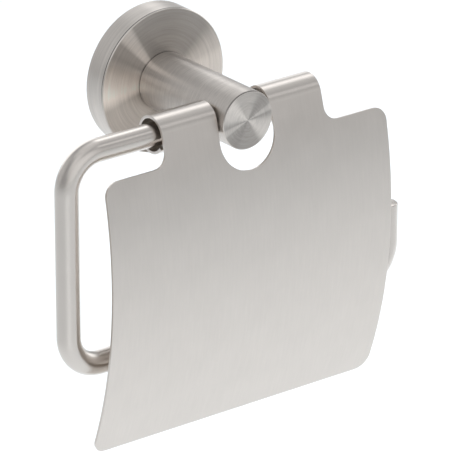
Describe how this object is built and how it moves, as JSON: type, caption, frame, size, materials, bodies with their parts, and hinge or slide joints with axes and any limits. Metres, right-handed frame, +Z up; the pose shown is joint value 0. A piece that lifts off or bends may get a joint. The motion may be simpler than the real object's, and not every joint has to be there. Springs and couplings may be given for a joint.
{
  "type": "toilet paper holder",
  "caption": "Wall-mounted toilet paper holder: a round rosette and post carry a bent rod for the roll, and a curved sheet-metal flap hinged on the rod hangs in front of it.",
  "frame": {"origin": "on the wall plane, at the axis of the post", "axes": "+Y into the wall along the post's axis, +Z up, +X to the right seen from the front, towards the rod's open end"},
  "size_m": [0.14, 0.0586, 0.1311],
  "materials": {
    "turned_steel": "fine concentric brushing",
    "rod_steel": "satin, faint polishing lines round the rod",
    "sheet_steel": "fine satin, brushed up and down",
    "plate_steel": "plain plated",
    "screw_steel": "plain plated",
    "nylon": "matte"
  },
  "bodies": {
    "holder": {"wall_plate": "plate_steel", "rosette": "turned_steel", "rosette_grub_screw": "screw_steel", "post": "turned_steel", "post_washer": "screw_steel", "post_screw": "screw_steel", "roll_rod": "rod_steel", "rod_grub_screw": "screw_steel"},
    "flap": {"flap": "sheet_steel", "left_bushing": "nylon", "right_bushing": "nylon"}
  },
  "joints": [
    {"name": "flap_hinge", "type": "hinge", "parent": "holder", "child": "flap", "pos_m": [0, -0.0455, 0], "axis": [-1, 0, 0], "range_deg": [-3.8, 204]}
  ]
}
